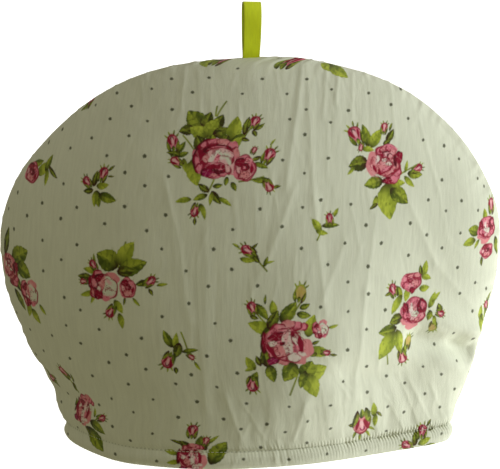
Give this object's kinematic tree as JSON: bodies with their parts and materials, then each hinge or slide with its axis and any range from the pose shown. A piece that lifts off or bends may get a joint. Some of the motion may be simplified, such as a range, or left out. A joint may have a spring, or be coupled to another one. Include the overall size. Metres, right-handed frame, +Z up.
{
  "type": "tea cosy",
  "caption": "Padded cotton tea cosy of two arched panels gathered in at a stitched hem, hollow and open below, with a tape loop on top.",
  "frame": {"origin": "on the table, at the middle of the cosy seen from above", "axes": "+X along the arch seam to the right, +Y from the front panel to the back panel, +Z up"},
  "size_m": [0.3314, 0.1644, 0.2961],
  "materials": {
    "printed_cotton": "matte printed cotton with a soft sheen",
    "lime_tape": "matte woven cotton tape"
  },
  "bodies": {
    "root": {"panel_front": "printed_cotton", "panel_back": "printed_cotton", "hanging_loop": "lime_tape"}
  },
  "joints": []
}
